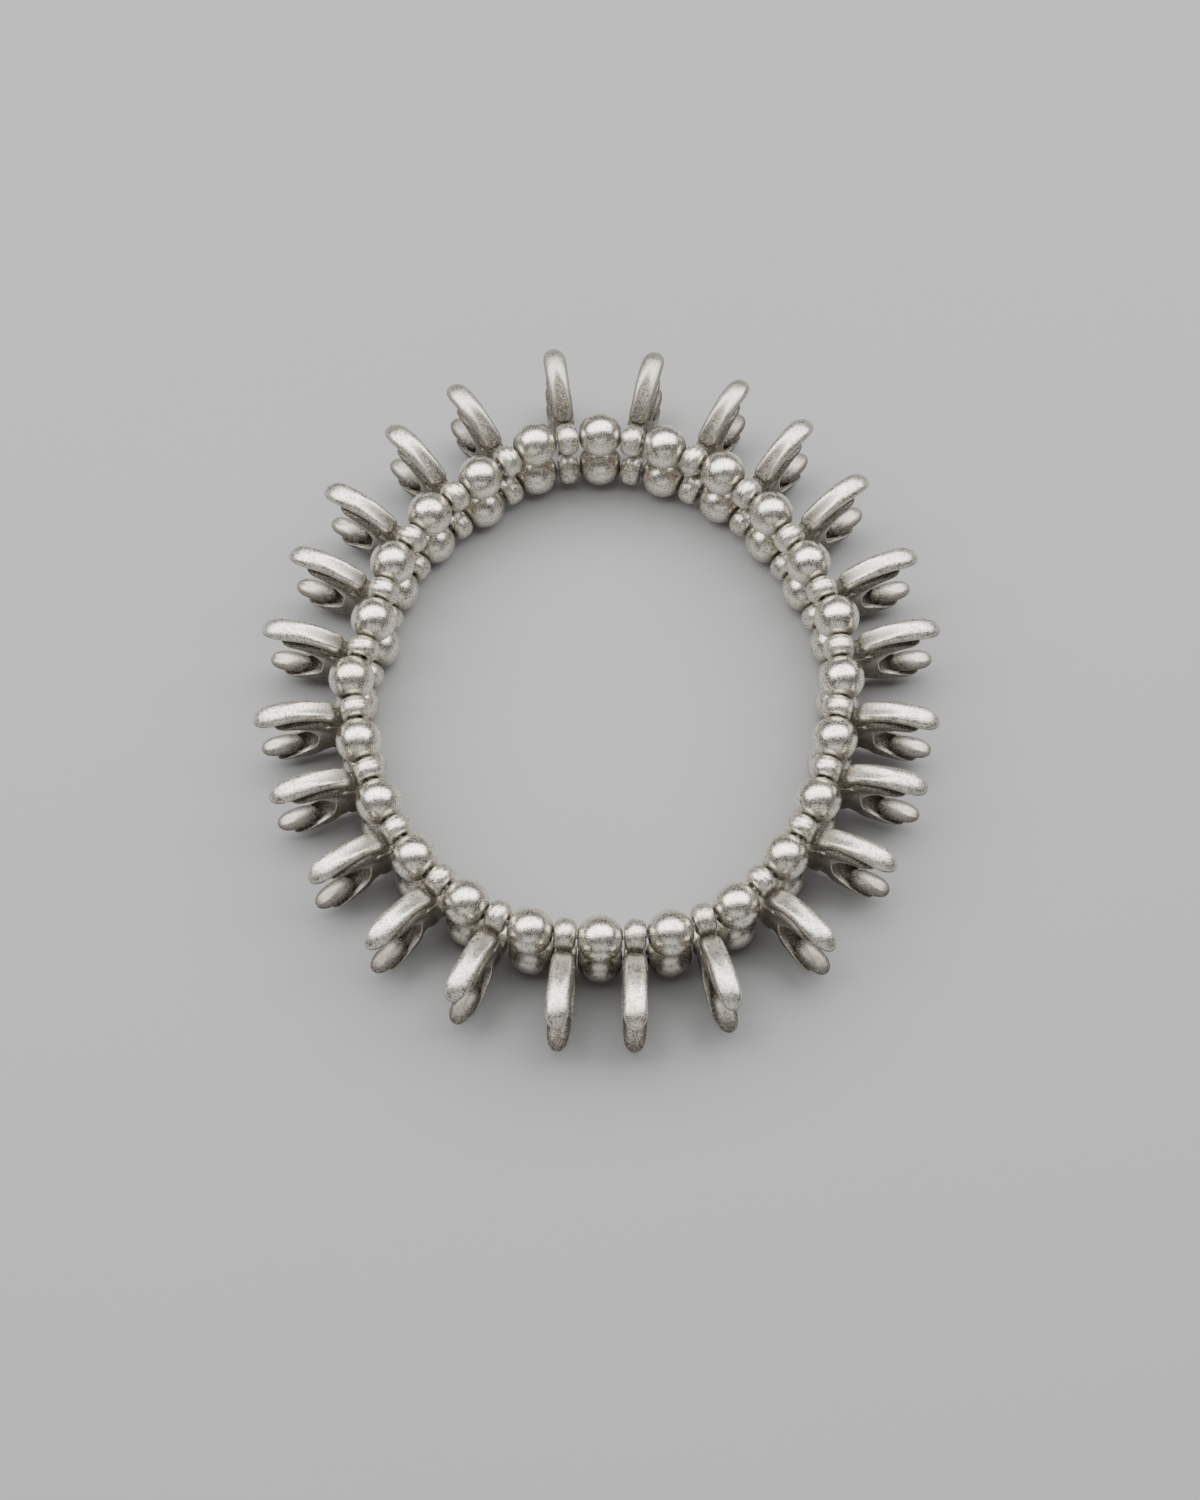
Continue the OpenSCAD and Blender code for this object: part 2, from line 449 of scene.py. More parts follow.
# Side view of the fork: the prong's middle line is an arc about PRONG_CENTRE, in mm from the upper cord
PRONG_CENTRE = (8.79, -5.7)
PRONG_RADIUS = 8.5
PRONG_FROM = math.radians(136.8)
PRONG_TO = math.radians(67.2)


def bar(place, from_s, to_s, half_width, half_thickness, groove=None, power=2.8, steps=60, around=40):
    """Bar along a line: place(s) gives its middle and its upward normal in the x z plane."""
    rings = []
    for j in range(steps + 1):
        s = from_s + (to_s - from_s) * (0.5 - 0.5 * math.cos(math.pi * j / steps))
        middle, normal = place(s)
        w, t = half_width(s), half_thickness(s)
        ring = []
        for k in range(around):
            across, up = superellipse(2 * math.pi * k / around, power)
            y, h = w * across, t * up
            if groove and up > 0:
                h -= groove(s, across)
            ring.append((middle[0] + normal[0] * h, y, middle[1] + normal[1] * h))
        rings.append(np.array(ring))
    return skin(rings)


def on_arc(centre, radius):
    """A place function for bar(): s is the angle on the arc."""
    def place(s):
        normal = (math.cos(s), math.sin(s))
        return (centre[0] + radius * normal[0], centre[1] + radius * normal[1]), normal
    return place


def on_hook(s):
    """Place on the prong's middle line: an arc that bends more tightly near the tip."""
    start = math.radians(84)
    if s >= start:
        return on_arc(PRONG_CENTRE, PRONG_RADIUS)(s)
    tight = 5.0
    shift = PRONG_RADIUS - tight
    centre = (PRONG_CENTRE[0] + shift * math.cos(start), PRONG_CENTRE[1] + shift * math.sin(start))
    return on_arc(centre, tight)(start + (s - start) * PRONG_RADIUS / tight)


def rounded_end(s, end, radius):
    """How much of the prong's width is left at s, for a round end of the given radius."""
    gone = abs(s - end) * PRONG_RADIUS
    least = 0.03
    if gone >= radius:
        return 1.0
    return max(math.sqrt(1 - (1 - gone / radius) ** 2), least)


def along_prong(s):
    """How far along the prong s is, from 0 at its root to 1 at its tip."""
    return (PRONG_FROM - s) / (PRONG_FROM - PRONG_TO)


def in_channel(s, across):
    """How deep in the prong's channel a point lies, from 0 at its rims to 1: it narrows to a point."""
    fade = 1 - smoothstep(0.3, 0.7, along_prong(s))
    reach = 0.25 + 0.45 * fade
    return fade * max(1 - (across / reach) ** 2, 0) ** 1.5


def prong_parts():
    """Upper prong: a channel on top that narrows from its root, and a round tip that bends down."""
    charm = settings().charm
    half = charm.prong_width / MM / 2
    thick = charm.prong_thickness / MM / 2
    deep = charm.channel_depth / MM

    def width(s):
        body = half * curve([(0, 0.86), (0.15, 0.9), (0.7, 1), (1, 1)], along_prong(s))
        root = 0.55 + 0.45 * rounded_end(s, PRONG_FROM, 0.9)
        return body * root * rounded_end(s, PRONG_TO, 2.5)

    def thickness(s):
        body = thick * curve([(0, 0.92), (0.3, 0.96), (0.75, 1.04), (1, 0.98)], along_prong(s))
        root = 0.7 + 0.3 * rounded_end(s, PRONG_FROM, 0.7)
        return body * root * rounded_end(s, PRONG_TO, 2.4)

    def channel(s, across):
        return deep * in_channel(s, across)

    return bar(on_hook, PRONG_FROM, PRONG_TO, width, thickness, channel, power=2.25, steps=90, around=72)


# Upper jaw. Columns: angle about PRONG_CENTRE in degrees, lower radius, half width and rim thickness, in mm
JAW_ROWS = [
    (79.8, 6.00, 0.25, 0.26), (82, 5.98, 0.75, 0.28), (88, 5.98, 1.22, 0.30), (97, 6.00, 1.42, 0.32),
    (106, 5.85, 1.46, 0.34), (119, 5.40, 1.48, 0.44), (132, 4.80, 1.46, 0.6), (146, 4.20, 1.42, 0.8)]
# Top of the upper jaw, which falls away from the prong towards the tip. Columns: angle and upper radius
JAW_TOPS = [(79.8, 6.30), (84, 6.52), (92, 6.8), (100, 7.0), (112, 7.3), (130, 7.5), (150, 7.5)]


def jaw_row(angle):
    """Lower radius, half width and rim of the upper jaw at an angle."""
    return at_row(JAW_ROWS, math.degrees(angle))


def jaw_top(angle):
    """Upper radius of the upper jaw at an angle."""
    return flowing(JAW_TOPS, math.degrees(angle))


def jaw_rings(from_deg, to_deg, section, power, steps=48, around=40):
    """Closed form along the jaw: section(angle) gives its inner and outer radius and its half width."""
    rings = []
    x, z = PRONG_CENTRE
    for angle in np.linspace(math.radians(from_deg), math.radians(to_deg), steps):
        inner, outer, half = section(angle)
        ring = []
        for k in range(around):
            across, up = superellipse(2 * math.pi * k / around, power)
            r = (inner + outer) / 2 + (outer - inner) / 2 * up
            ring.append((x + r * math.cos(angle), half * across, z + r * math.sin(angle)))
        rings.append(np.array(ring))
    return skin(rings)


# How far the hollow runs past the jaw's lower edge, and the least roof and half width it has, in mm
HOLLOW_PAST, LEAST_ROOF, LEAST_HOLLOW = 0.8, 0.27, 0.2
# How far the neck reaches into the jaw, and how far below the prong's middle line it ends, in mm
NECK_INTO_JAW, NECK_BELOW = 0.1, 0.3
# Where the hollow and the neck begin and end, as angles about PRONG_CENTRE in degrees
HOLLOW_SPAN = (134, 88)
NECK_SPAN = (136, 96)


def jaw_parts():
    """Upper jaw of the mouth, its hollow, and the neck that carries the prong a little above it."""
    def solid(angle):
        low, half, _ = jaw_row(angle)
        return low, jaw_top(angle), half

    def hollow(angle):
        low, half, rim = jaw_row(angle)
        roof = jaw_top(angle) - max(LEAST_ROOF, rim * 0.9)
        return low - HOLLOW_PAST, roof, max(half - rim, LEAST_HOLLOW)

    def neck(angle):
        _, half, _ = jaw_row(angle)
        return jaw_top(angle) - NECK_INTO_JAW, PRONG_RADIUS - NECK_BELOW, half * 0.5

    jaw = jaw_rings(JAW_ROWS[-1][0], JAW_ROWS[0][0], solid, power=3.2)
    return jaw, jaw_rings(*HOLLOW_SPAN, hollow, power=2.8), jaw_rings(*NECK_SPAN, neck, power=4)


# The finger's inner and outer end, from the cords, and the height of its middle line, in mm
FINGER_FROM = 6.9
FINGER_TO = 12.05
FINGER_HEIGHT = -5.95
# The middle line drops by this much times the square of the way from its middle
FINGER_BEND = 0.04
# Stem under the finger: middle and half sizes, in mm
STEM_MIDDLE = (8.6, 0, -7.3)
STEM_RADII = (1.2, 0.75, 1.4)


def finger_parts():
    """Egg-shaped bar that lies in the mouth and stands out past its lower lip, with a faint groove on top."""
    charm = settings().charm
    half = charm.finger_width / MM / 2
    thick = charm.finger_thickness / MM / 2
    middle, reach = (FINGER_FROM + FINGER_TO) / 2, (FINGER_TO - FINGER_FROM) / 2
    groove_depth, groove_reach = 0.08, 0.4

    def place(s):
        bow = 2 * FINGER_BEND * (s - middle)
        return (s, FINGER_HEIGHT - FINGER_BEND * (s - middle) ** 2), (bow, math.sqrt(1 - bow * bow))

    def egg(s):
        return max(1 - abs((s - middle) / reach) ** 2.8, 0.0004) ** 0.5

    def width(s):
        return half * egg(s)

    def thickness(s):
        return thick * egg(s)

    def groove(s, across):
        return groove_depth * max(1 - (across / groove_reach) ** 2, 0) * smoothstep(9.4, 10.4, s) * egg(s)

    return bar(place, FINGER_FROM, FINGER_TO, width, thickness, groove, power=2.0, around=44)


# Lower jaw. Columns: x, rim height and keel height, in mm, and half width as a share of the full one
CUP_ROWS = [
    (2.0, -2.0, -8.4, 0.76), (2.8, -1.2, -8.6, 0.84), (3.7, -0.7, -8.75, 0.90), (4.4, -0.9, -8.85, 0.94),
    (4.8, -2.2, -8.9, 0.96), (5.1, -3.9, -8.9, 0.97), (5.5, -4.9, -8.9, 0.98), (6.3, -5.5, -8.85, 1.0),
    (7.1, -5.9, -8.75, 1.0), (8.6, -6.75, -8.45, 0.95), (9.6, -7.3, -8.1, 0.85), (10.2, -7.6, -7.9, 0.66),
    (10.6, -7.75, -7.87, 0.3)]
# Hollow of the lower jaw. Columns: x, top, floor and half width, in mm
HOLLOW_ROWS = [
    (4.35, -2.6, -3.2, 0.25), (4.42, -2.0, -3.9, 0.50), (4.6, -1.4, -4.5, 0.74), (4.9, -0.9, -5.1, 0.92),
    (5.3, -0.4, -5.8, 1.06), (6.0, -1.0, -6.6, 1.20), (7.0, -3.0, -7.3, 1.28), (8.5, -4.8, -7.7, 1.22),
    (9.4, -5.6, -7.6, 1.02), (10.1, -6.2, -7.5, 0.6)]
# Rim of the cup that the hollow's half widths are for, and the least height of its wall, in mm
HOLLOW_RIM = 0.34
LEAST_WALL = 0.12


def trough(rows, power, around=36):
    """Closed form through U-shaped rings: each row has x, top, bottom and half width."""
    rings = []
    for x, top, low, half in rows:
        ring = []
        for k in range(around + 1):
            across, down = superellipse(math.pi * k / around, power)
            ring.append((x, -half * across, top - (top - low) * down))
        rings.append(np.array(ring))
    return skin(rings)


def cup_parts():
    """Boat-shaped lower jaw and its hollow."""
    charm = settings().charm
    half = charm.cup_width / MM / 2
    hull = []
    for x in np.linspace(CUP_ROWS[0][0], CUP_ROWS[-1][0], 60):
        rim, keel, wide = at_row(CUP_ROWS, x)
        hull.append((x, rim, min(keel, rim - LEAST_WALL), half * wide))
    hollow = []
    thicker = charm.cup_wall / MM - HOLLOW_RIM
    for x in np.linspace(HOLLOW_ROWS[0][0], HOLLOW_ROWS[-1][0], 50):
        top, floor, wide = at_row(HOLLOW_ROWS, x)
        hollow.append((x, top, floor, wide - thicker))
    return trough(hull, power=2.2), trough(hollow, power=2.6)


def cut_out(body, tool):
    """Cuts the tool's form out of the body."""
    cut = body.modifiers.new("hollow", "BOOLEAN")
    cut.operation = "DIFFERENCE"
    cut.solver = "EXACT"
    cut.object = tool
    apply_modifiers(body)


def mouth_parts():
    """The two jaws and the web behind them, hollowed, and the neck on top."""
    jaw, jaw_hollow, neck = jaw_parts()
    cup, cup_hollow = cup_parts()
    tools = [mesh_object("hollow", *form) for form in (jaw_hollow, cup_hollow)]
    bodies = [mesh_object("mouth", *form) for form in (jaw, cup, web_part())]
    for body in bodies:
        for tool in tools:
            cut_out(body, tool)
    for tool in tools:
        bpy.data.objects.remove(tool)
    return bodies + [neck]


def lump(centre, radii, rows=14, around=24):
    """Ellipsoid of three radii, with a small flat at each pole."""
    rings = []
    flat = 0.05
    for j in range(rows + 1):
        a = math.pi * (j + flat) / (rows + 2 * flat)
        rings.append(np.array([
            (centre[0] + radii[0] * math.sin(a) * math.cos(2 * math.pi * k / around),
             centre[1] + radii[1] * math.sin(a) * math.sin(2 * math.pi * k / around),
             centre[2] - radii[2] * math.cos(a)) for k in range(around)]))
    return skin(rings)


# Web between the tubes and the mouth. Columns: height, inner and outer end in x, and half width, in mm
WEB_ROWS = [
    (-8.3, 0.9, 3.2, 0.85), (-7.9, 0.9, 3.6, 1.05), (-5, 1.25, 3.9, 1.15), (-2.6, 1.3, 3.9, 1.2),
    (-1.1, 1.1, 4.0, 1.15), (-0.5, 1.6, 3.9, 1.0), (0.1, 2.5, 3.6, 0.9)]


def web_part(power=10 / 3, around=32):
    """Web between the tubes and the mouth."""
    rings = []
    for z, inner, outer, half in WEB_ROWS:
        ring = []
        for k in range(around):
            out, across = superellipse(2 * math.pi * k / around, power)
            ring.append(((inner + outer) / 2 + (outer - inner) / 2 * out, half * across, z))
        rings.append(np.array(ring))
    return skin(rings)


def apply_modifiers(thing):
    """Replaces an object's mesh with what its modifiers make of it."""
    graph = bpy.context.evaluated_depsgraph_get()
    graph.update()
    made = bpy.data.meshes.new_from_object(thing.evaluated_get(graph))
    old = thing.data
    thing.modifiers.clear()
    thing.data = made
    bpy.data.meshes.remove(old)


def joined(name, parts):
    """One mesh object from lists of points and faces and from other objects."""
    points, faces, count = [], [], 0
    for part in parts:
        if isinstance(part, bpy.types.Object):
            own = [tuple(v.co) for v in part.data.vertices]
            own_faces = [tuple(f.vertices) for f in part.data.polygons]
            bpy.data.objects.remove(part)
        else:
            own, own_faces = part
        points.extend(tuple(p) for p in own)
        faces.extend(tuple(count + v for v in f) for f in own_faces)
        count += len(own)
    return mesh_object(name, points, faces)


def charm_pattern():
    """The casting's pattern in mm: its parts fused into one skin with soft joints."""
    charm = settings().charm
    spacing = settings().loop.cord_spacing / MM
    stem = lump(STEM_MIDDLE, STEM_RADII)
    parts = [tube_parts(0), tube_parts(-spacing), prong_parts(), finger_parts(), stem, *mouth_parts()]
    pattern = joined("charm_pattern", parts)
    fuse = pattern.modifiers.new("fuse", "REMESH")
    fuse.mode = "VOXEL"
    fuse.voxel_size = 0.06
    soften = pattern.modifiers.new("soften", "SMOOTH")
    soften.factor = 0.5
    soften.iterations = 5
    apply_modifiers(pattern)
    fewer = pattern.modifiers.new("fewer", "DECIMATE")
    fewer.ratio = charm.triangles / sum(len(f.vertices) - 2 for f in pattern.data.polygons)
    apply_modifiers(pattern)
    pattern.data.shade_smooth()
    drill(pattern, spacing)
    return pattern


def drill(pattern, spacing):
    """Keeps the tubes' holes open: points that the fusing pulled into a hole go back to its wall."""
    hole = settings().charm.tube_hole / MM / 2
    for vertex in pattern.data.vertices:
        for z in (0, -spacing):
            r = math.hypot(vertex.co.x, vertex.co.z - z)
            if 1e-6 < r < hole:
                vertex.co.x *= hole / r
                vertex.co.z = z + (vertex.co.z - z) * hole / r


def hollowness(mesh, reach, rays=40, clear=0.03):
    """For each point, how much of the view above its surface is closed within reach, from 0 to 1.

    The rays spread evenly and start clear of the surface.
    """
    tree = BVHTree.FromPolygons([v.co for v in mesh.vertices], [f.vertices for f in mesh.polygons])
    golden = math.pi * (3 - math.sqrt(5))
    away = []
    for k in range(rays):
        up = math.sqrt((k + 0.5) / rays)
        flat = math.sqrt(1 - up * up)
        away.append(Vector((flat * math.cos(k * golden), flat * math.sin(k * golden), up)))
    closed = np.zeros(len(mesh.vertices))
    for i, vertex in enumerate(mesh.vertices):
        normal = vertex.normal
        turn = Vector((0, 0, 1)).rotation_difference(normal)
        start = vertex.co + normal * clear
        for ray in away:
            hit = tree.ray_cast(start, turn @ ray, reach)
            if hit[0] is not None:
                closed[i] += 1 - (hit[3] / reach) ** 2
    return closed / rays


def evened(mesh, values, rounds):
    """Values at the mesh's points, evened out between neighbours."""
    edges = np.array([e.vertices[:] for e in mesh.edges])
    degree = np.maximum(np.bincount(edges.ravel(), minlength=len(values)), 1)
    for _ in range(rounds):
        total = np.bincount(edges[:, 0], values[edges[:, 1]], len(values))
        total += np.bincount(edges[:, 1], values[edges[:, 0]], len(values))
        values = 0.5 * values + 0.5 * total / degree
    return values


def sharpness(mesh):
    """How sharply the surface bends outwards at each point, as one over the radius in the mesh's own unit."""
    points = np.array([v.co for v in mesh.vertices])
    normals = np.array([v.normal for v in mesh.vertices])
    edges = np.array([e.vertices[:] for e in mesh.edges])
    step = points[edges[:, 1]] - points[edges[:, 0]]
    long = np.maximum((step ** 2).sum(1), 1e-9)
    bend = np.zeros(len(points))
    for end, sign in ((0, -1), (1, 1)):
        own = edges[:, end]
        bend += np.bincount(own, 2 * sign * (step * normals[own]).sum(1) / long, len(points))
    return bend / np.maximum(np.bincount(edges.ravel(), minlength=len(points)), 1)


def write_film_and_shade(mesh, values):
    """Stores how much dark patina film and painted shade each point keeps."""
    layer = mesh.attributes.get("film_and_shade") or mesh.attributes.new("film_and_shade", "FLOAT", "POINT")
    layer.data.foreach_set("value", values.astype(np.float32))


# How much dark film each kind of place on a casting keeps: patina in hollows, in the mouth, near the root and
# at the joint, and painted shade on sides, low down, on low sides, under the prong and under the tip. Wear
# takes film away
FILM_AND_SHADE = {
    "in hollows": 1.1, "on sides": 0.4, "low down": 0.44, "on low sides": 0.16, "near the root": 0.14,
    "under the prong": 0.5, "in the mouth": 0.4, "at the joint": 0.45, "under the tip": 0.9, "worn": -0.6}
# How far away a surface still closes a hollow in, in mm
HOLLOW_REACH = 6.0


def charm_film_and_shade(mesh):
    """Film and painted shade kept by the pattern's points: patina in hollows, painted shade on low and side
    faces and under the prong and its tip, less on worn edges.
    """
    # Each place is given by where it starts and where it is full: by place in mm, by the normal's rise,
    # or for wear by one over the edge's radius
    x, y, z = np.array([v.co for v in mesh.vertices]).T
    upward = np.array([v.normal.z for v in mesh.vertices])
    from_centre = np.hypot(x - PRONG_CENTRE[0], z - PRONG_CENTRE[1])
    # Painted shade: faces turned away from the sky and faces low on the charm are darkened as if out of the
    # light
    side = 1 - np.clip(upward, 0, 1)
    low = rising(z, -1.5, -6.5)
    # Painted shadow under the prong, on the upper jaw between its rim and the prong's underside
    under_prong = rising(from_centre, 6.2, 6.5) * rising(from_centre, 7.9, 7.6) * (z > -3)
    in_mouth = rising(x, 9.5, 8.0) * (from_centre < 5.6) * (np.abs(y) < 1.28)
    sheltered_and_shaded = {
        "on sides": side,
        "low down": low,
        "on low sides": low * side,
        "near the root": rising(x, 5.5, 2.5),
        "under the prong": under_prong,
        "in the mouth": in_mouth}
    anywhere = {
        "in hollows": evened(mesh, hollowness(mesh, HOLLOW_REACH), 2),
        "at the joint": rising(x, 1.5, 1.8) * rising(x, 2.9, 2.5) * (np.abs(z) < 1.3) * (upward > -0.2),
        # Painted shadow on the faces that turn down at the prong's tip, above the finger
        "under the tip": rising(upward, 0.5, 0.05) * rising(x, 10.4, 11.2) * (z > -3),
        "worn": rising(evened(mesh, sharpness(mesh), 2), 1.1, 2.7)}
    off_tubes = rising(x, 1.6, 2.8)
    darkening = sum(FILM_AND_SHADE[kind] * share * off_tubes for kind, share in sheltered_and_shaded.items())
    return darkening + sum(FILM_AND_SHADE[kind] * share for kind, share in anywhere.items())


def channel_share(mesh):
    """How deep in the prong's channel each point of the pattern lies, from 0 to 1."""
    half = settings().charm.prong_width / MM / 2
    shares = np.zeros(len(mesh.vertices))
    tubes_end = 2.0
    for i, vertex in enumerate(mesh.vertices):
        x, y, z = vertex.co
        from_centre = math.hypot(x - PRONG_CENTRE[0], z - PRONG_CENTRE[1])
        if from_centre > PRONG_RADIUS and x > tubes_end:
            shares[i] = in_channel(math.atan2(z - PRONG_CENTRE[1], x - PRONG_CENTRE[0]), y / half)
    return shares


def fork_share(mesh):
    """Whether each point of the pattern lies on the fork and not on the tubes, from 0 to 1."""
    return rising(np.array([v.co.x for v in mesh.vertices]), 1.9, 2.4)


def tip_share(mesh):
    """How far out on the finger and the lower lip each point of the pattern lies, from 0 to 1."""
    x, _, z = np.array([v.co for v in mesh.vertices]).T
    return rising(x, 8.6, 9.8) * (z < -4.5)


# Further film in every casting's channel, how much it changes by chance, and the painted shade added there at
# the back of the loop
CHANNEL_FILM, CHANNEL_CHANCE, CHANNEL_SHADE_BEHIND = 0.2, 0.15, 0.8
# Painted shade on the forks of the backmost castings, and on the tips of those in front
FORK_SHADE_BEHIND, TIP_SHADE_IN_FRONT = 0.42, 0.55


def film_and_shade_by_place(i, channel, fork, tip):
    """The painted shade that charm i's place in the loop adds to its film, and the chance change in its
    channel's film.
    """
    # Painted shade: the channel and the fork darken towards the back of the loop
    behind = 0.5 + 0.5 * math.cos((i - 0.5) * 2 * math.pi / UNITS)
    chance = CHANNEL_CHANCE * math.sin(i * UNLIKE_TURN)
    in_channel = channel * (CHANNEL_FILM + CHANNEL_SHADE_BEHIND * behind ** 3 + chance)
    # Painted shade on the finger tips and lower lips of the charms towards the front of the loop
    return in_channel + fork * FORK_SHADE_BEHIND * behind ** 12 + tip * TIP_SHADE_IN_FRONT * (1 - behind) ** 4


# Seed of the castings' noise, so that each run gives the same ones
NOISE_SEED = 1
# How far the noise moves on from one casting to the next, and how many of its lumps there are to a mm
NOISE_STEP = (7.3, 3.1, 5.7)
NOISE_LUMPS = 0.28


def uneven(mesh, seed, amount):
    """Shifts the pattern's points a little, differently for each casting."""
    start = Vector([seed * step for step in NOISE_STEP])
    for vertex in mesh.vertices:
        keep = smoothstep(2.2, 4.5, vertex.co.x)
        vertex.co += noise.noise_vector(vertex.co * NOISE_LUMPS + start) * amount * keep


# How far a charm's middle may lie from the middle of its node's box, in mm
PLACE_TOLERANCE = 0.6


class BRACELET_OT_charms(bpy.types.Operator):
    """Cast the forked charms and set them on the cords"""
    bl_idname = "bracelet.charms"
    bl_label = "Charms"

    def execute(self, context):
        pattern = charm_pattern()
        film_and_shade = charm_film_and_shade(pattern.data)
        shares = channel_share(pattern.data), fork_share(pattern.data), tip_share(pattern.data)
        silver = silver_material("charm_silver", settings().finish.charm_patina, satin=0.35, relief=0.022,
                                 contrast=1.0, tone=0.62)
        strays = settings().charm.unevenness / MM
        noise.seed_set(NOISE_SEED)
        for i in range(1, UNITS + 1):
            node = f"charm_{i:02d}"
            mesh = pattern.data.copy()
            write_film_and_shade(mesh, film_and_shade + film_and_shade_by_place(i, *shares))
            uneven(mesh, i, strays)
            mesh.transform(charm_matrix(i))
            mesh.materials.clear()
            mesh.materials.append(silver)
            casting = bpy.data.objects.new(f"cast_{node}", mesh)
            context.scene.collection.objects.link(casting)
            low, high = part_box(node)
            own = [Vector(c) for c in casting.bound_box]
            middle = sum(own, Vector()) / 8
            if (middle - (low + high) / 2).length > PLACE_TOLERANCE * MM:
                raise RuntimeError(f"{node} isn't where the frame has it")
            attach(casting, "root")
            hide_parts(node)
        bpy.data.objects.remove(pattern)
        return {"FINISHED"}


def bead_profile():
    """Half section of a drilled bead with a softened edge at its hole."""
    loop = settings().loop
    radius, hole = loop.bead_diameter / MM / 2, loop.bead_hole / MM / 2
    soft = 0.1
    reach = math.acos((hole + soft) / radius)
    straight = math.sqrt(radius ** 2 - (hole + soft) ** 2) - soft
    profile = [(x, hole) for x in np.linspace(-straight, straight, 5)]
    steps = 26
    for j in range(steps + 1):
        a = reach * (1 - 2 * j / steps)
        profile.append((radius * math.sin(a), radius * math.cos(a)))
    return profile


# Film and painted shade on the beads: film round the hole, painted shade with some film on the lower half,
# and painted shade on the lower string, which has more in front
HOLE_FILM, BELOW_SHADE_AND_FILM, LOWER_SHADE, LOWER_SHADE_IN_FRONT = 0.7, 0.45, 0.1, 0.33


def string_of_beads(name, height, lower):
    """All the beads on one cord, in one mesh in the frame's metres."""
    sides = 48
    radius = settings().loop.bead_diameter / MM / 2
    points, faces = lathe(bead_profile(), sides, along="x")
    all_points, all_faces, film_and_shade = [], [], []
    near_hole = rising(np.abs(points[:, 0]), 1.7, 2.6)
    for i in range(1, UNITS + 1):
        middle = bead_at(i)
        turn = np.array(Matrix.Rotation(bead_direction(i), 3, "Z"))
        spin = np.array(Matrix.Rotation(i * UNLIKE_TURN, 3, "X"))
        own = points @ spin.T @ turn.T + np.array([middle.x, middle.y, height])
        all_faces.extend(tuple(len(all_points) * len(points) + v for v in f) for f in faces)
        all_points.append(own)
        # Painted shade, with some tarnish: each bead darkens towards its bottom
        below = np.clip(0.55 - (own[:, 2] - height) / radius, 0, 1)
        front = 0.5 - 0.5 * math.sin(math.atan2(middle.y, middle.x))
        darkening = near_hole * HOLE_FILM + below * BELOW_SHADE_AND_FILM
        # Painted shade: the whole lower string is darker, more so towards the front of the loop
        if lower:
            darkening += LOWER_SHADE + LOWER_SHADE_IN_FRONT * front
        film_and_shade.append(darkening)
    beads = mesh_object(name, np.concatenate(all_points) * MM, all_faces)
    write_film_and_shade(beads.data, evened(beads.data, np.concatenate(film_and_shade), 2))
    return beads


class BRACELET_OT_beads(bpy.types.Operator):
    """Turn the round beads of both strings"""
    bl_idname = "bracelet.beads"
    bl_label = "Beads"

    def execute(self, context):
        silver = silver_material("bead_silver", settings().finish.bead_patina, satin=0.27, relief=0.013,
                                 contrast=0.8, tone=0.7)
        for node, height in zip(("lower_beads", "upper_beads"), cord_heights()):
            beads = string_of_beads(f"polished_{node}", height, lower=node == "lower_beads")
            beads.data.materials.append(silver)
            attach(beads, "root")
            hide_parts(node)
        return {"FINISHED"}


class BRACELET_OT_elastics(bpy.types.Operator):
    """Colour the two elastic cords"""
    bl_idname = "bracelet.elastics"
    bl_label = "Elastic Cords"

    def execute(self, context):
        cord = elastic_material()
        for node in ("lower_elastic", "upper_elastic"):
            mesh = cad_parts[node].data
            mesh.materials.clear()
            mesh.materials.append(cord)
        return {"FINISHED"}


# The camera stands this far in front of and above the middle of the upper cord, in mm
CAMERA_BACK = 122.8
CAMERA_UP = 260.9
# Focal length in mm, for the sensor that a new camera has
CAMERA_LENS = 57.7
# From the middle of the floor to its sides, in metres
FLOOR_REACH = 3.0
# Size and place of the two lights, in metres
KEY_SIZE, KEY_PLACE = (1.5, 0.46), (-0.02, 0.16, 0.46)
FILL_SIZE, FILL_PLACE = (0.7, 0.3), (0, -0.5, 0.25)


def area_light(name, power, size, place):
    """Rectangular light that faces the middle of the floor."""
    light = bpy.data.lights.new(name, "AREA")
    light.energy = power
    light.shape = "RECTANGLE"
    light.size, light.size_y = size
    lamp = bpy.data.objects.new(name, light)
    lamp.location = place
    lamp.rotation_mode = "QUATERNION"
    lamp.rotation_quaternion = (-Vector(place)).to_track_quat("-Z", "Y")
    bpy.context.scene.collection.objects.link(lamp)


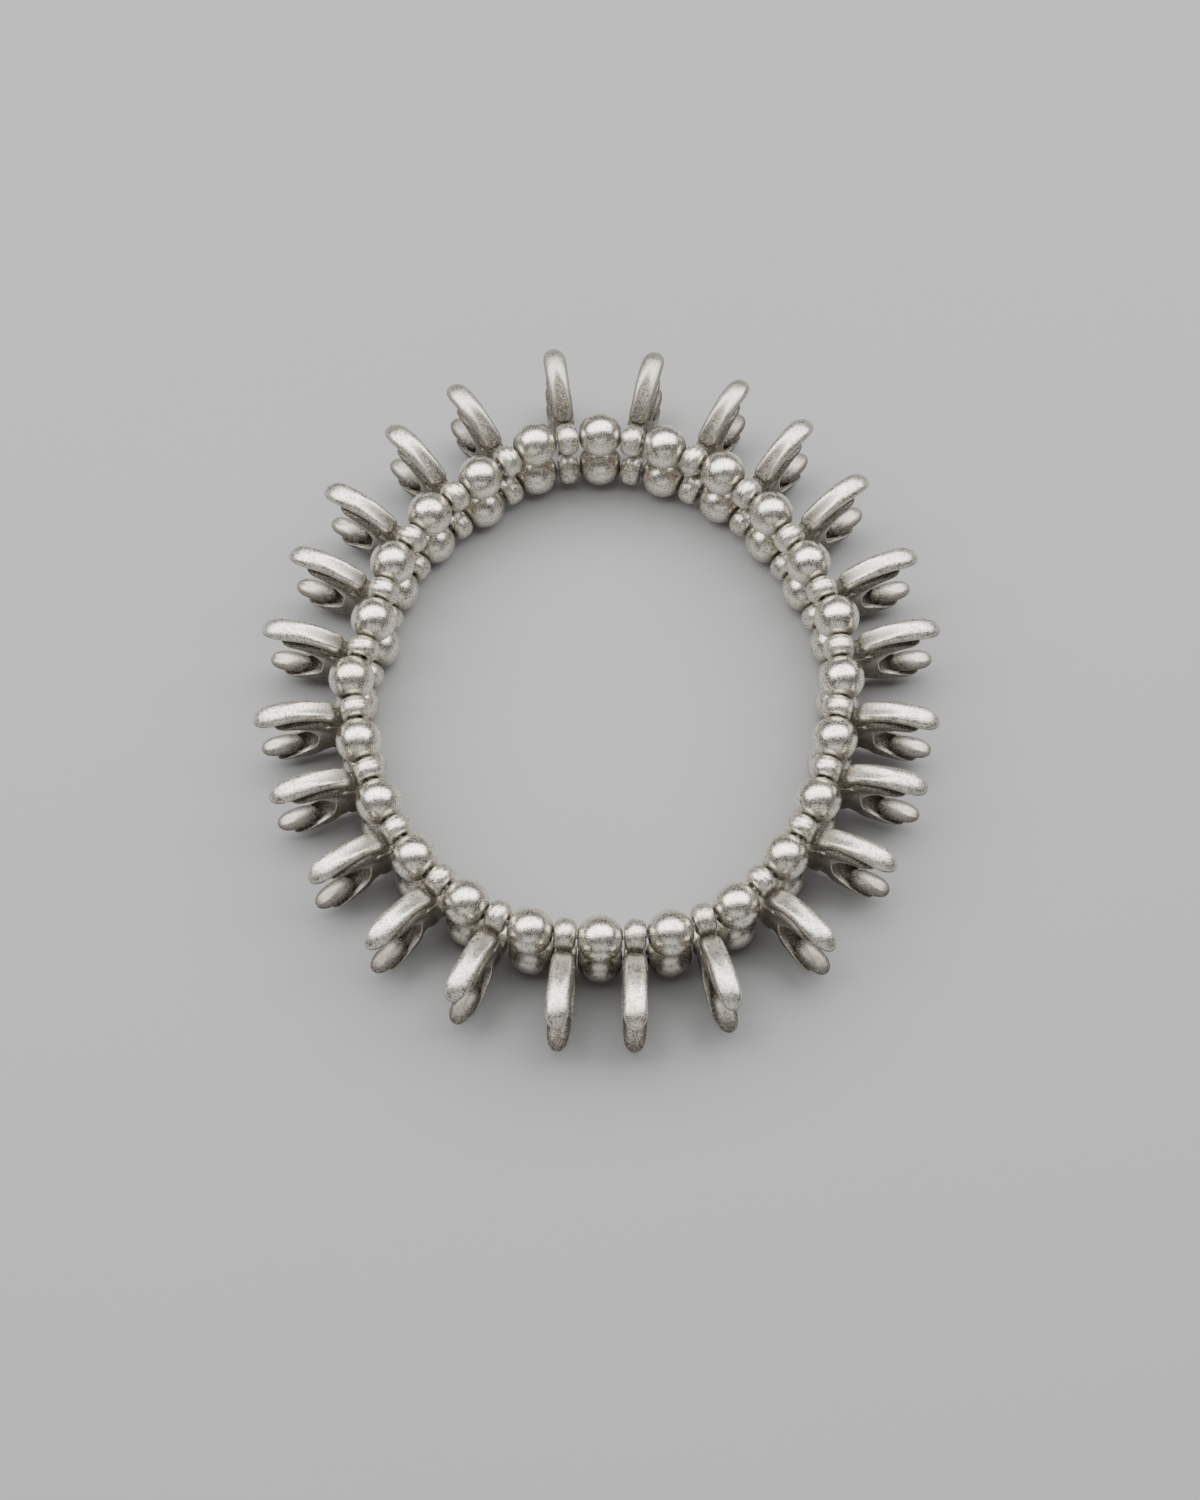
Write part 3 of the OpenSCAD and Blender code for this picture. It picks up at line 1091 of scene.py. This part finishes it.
class BRACELET_OT_stage(bpy.types.Operator):
    """Lay the floor and set the lights and the camera"""
    bl_idname = "bracelet.stage"
    bl_label = "Stage"

    def execute(self, context):
        stage = settings().stage
        corners = [(x * FLOOR_REACH, y * FLOOR_REACH, 0) for x, y in ((-1, -1), (1, -1), (1, 1), (-1, 1))]
        floor = mesh_object("floor", corners, [(0, 1, 2, 3)], smooth=False)
        floor.data.materials.append(floor_material())
        world = bpy.data.worlds.new("surround")
        world.use_nodes = True
        background = world.node_tree.nodes["Background"]
        background.inputs["Color"].default_value = (stage.sky, stage.sky, stage.sky, 1)
        context.scene.world = world
        area_light("key", stage.key_power, KEY_SIZE, KEY_PLACE)
        area_light("fill", stage.fill_power, FILL_SIZE, FILL_PLACE)
        camera = bpy.data.cameras.new("camera")
        camera.lens = CAMERA_LENS
        camera.clip_start = 0.01
        taker = bpy.data.objects.new("camera", camera)
        taker.location = (OVAL_MIDDLE[0] * MM, (OVAL_MIDDLE[1] - CAMERA_BACK) * MM,
                          (cord_heights()[1] + CAMERA_UP) * MM)
        taker.rotation_euler = (math.pi / 2 - stage.elevation, 0, 0)
        context.scene.collection.objects.link(taker)
        context.scene.camera = taker
        return {"FINISHED"}


class BraceletSettings(bpy.types.PropertyGroup):
    """All that the sidebar can change."""
    loop: PointerProperty(type=BraceletLoop)
    charm: PointerProperty(type=BraceletCharm)
    finish: PointerProperty(type=BraceletFinish)
    stage: PointerProperty(type=BraceletStage)


class BRACELET_PT_panel(bpy.types.Panel):
    """Sizes, colours and build steps of the bracelet"""
    bl_idname = "BRACELET_PT_panel"
    bl_label = "Stretch Bracelet"
    bl_space_type = "VIEW_3D"
    bl_region_type = "UI"
    bl_category = "Bracelet"

    def draw(self, context):
        for name in ("loop", "charm", "finish", "stage"):
            box = self.layout.box()
            box.label(text=name.capitalize())
            group = getattr(context.scene.bracelet, name)
            for key in group.__annotations__:
                box.prop(group, key)
        for step in STEPS:
            self.layout.operator(step.bl_idname)


STEPS = (BRACELET_OT_stage, BRACELET_OT_elastics, BRACELET_OT_beads, BRACELET_OT_charms)
GROUPS = (BraceletLoop, BraceletCharm, BraceletFinish, BraceletStage, BraceletSettings)


def register():
    """Makes the settings, build steps and panel known."""
    for kind in (*GROUPS, *STEPS, BRACELET_PT_panel):
        bpy.utils.register_class(kind)
    bpy.types.Scene.bracelet = PointerProperty(type=BraceletSettings)


def unregister():
    """Takes away what register() made known."""
    del bpy.types.Scene.bracelet
    for kind in reversed((*GROUPS, *STEPS, BRACELET_PT_panel)):
        bpy.utils.unregister_class(kind)


def main():
    """Builds the bracelet and its stage."""
    register()
    bpy.ops.bracelet.stage()
    bpy.ops.bracelet.elastics()
    bpy.ops.bracelet.beads()
    bpy.ops.bracelet.charms()


if __name__ == "__main__":
    main()
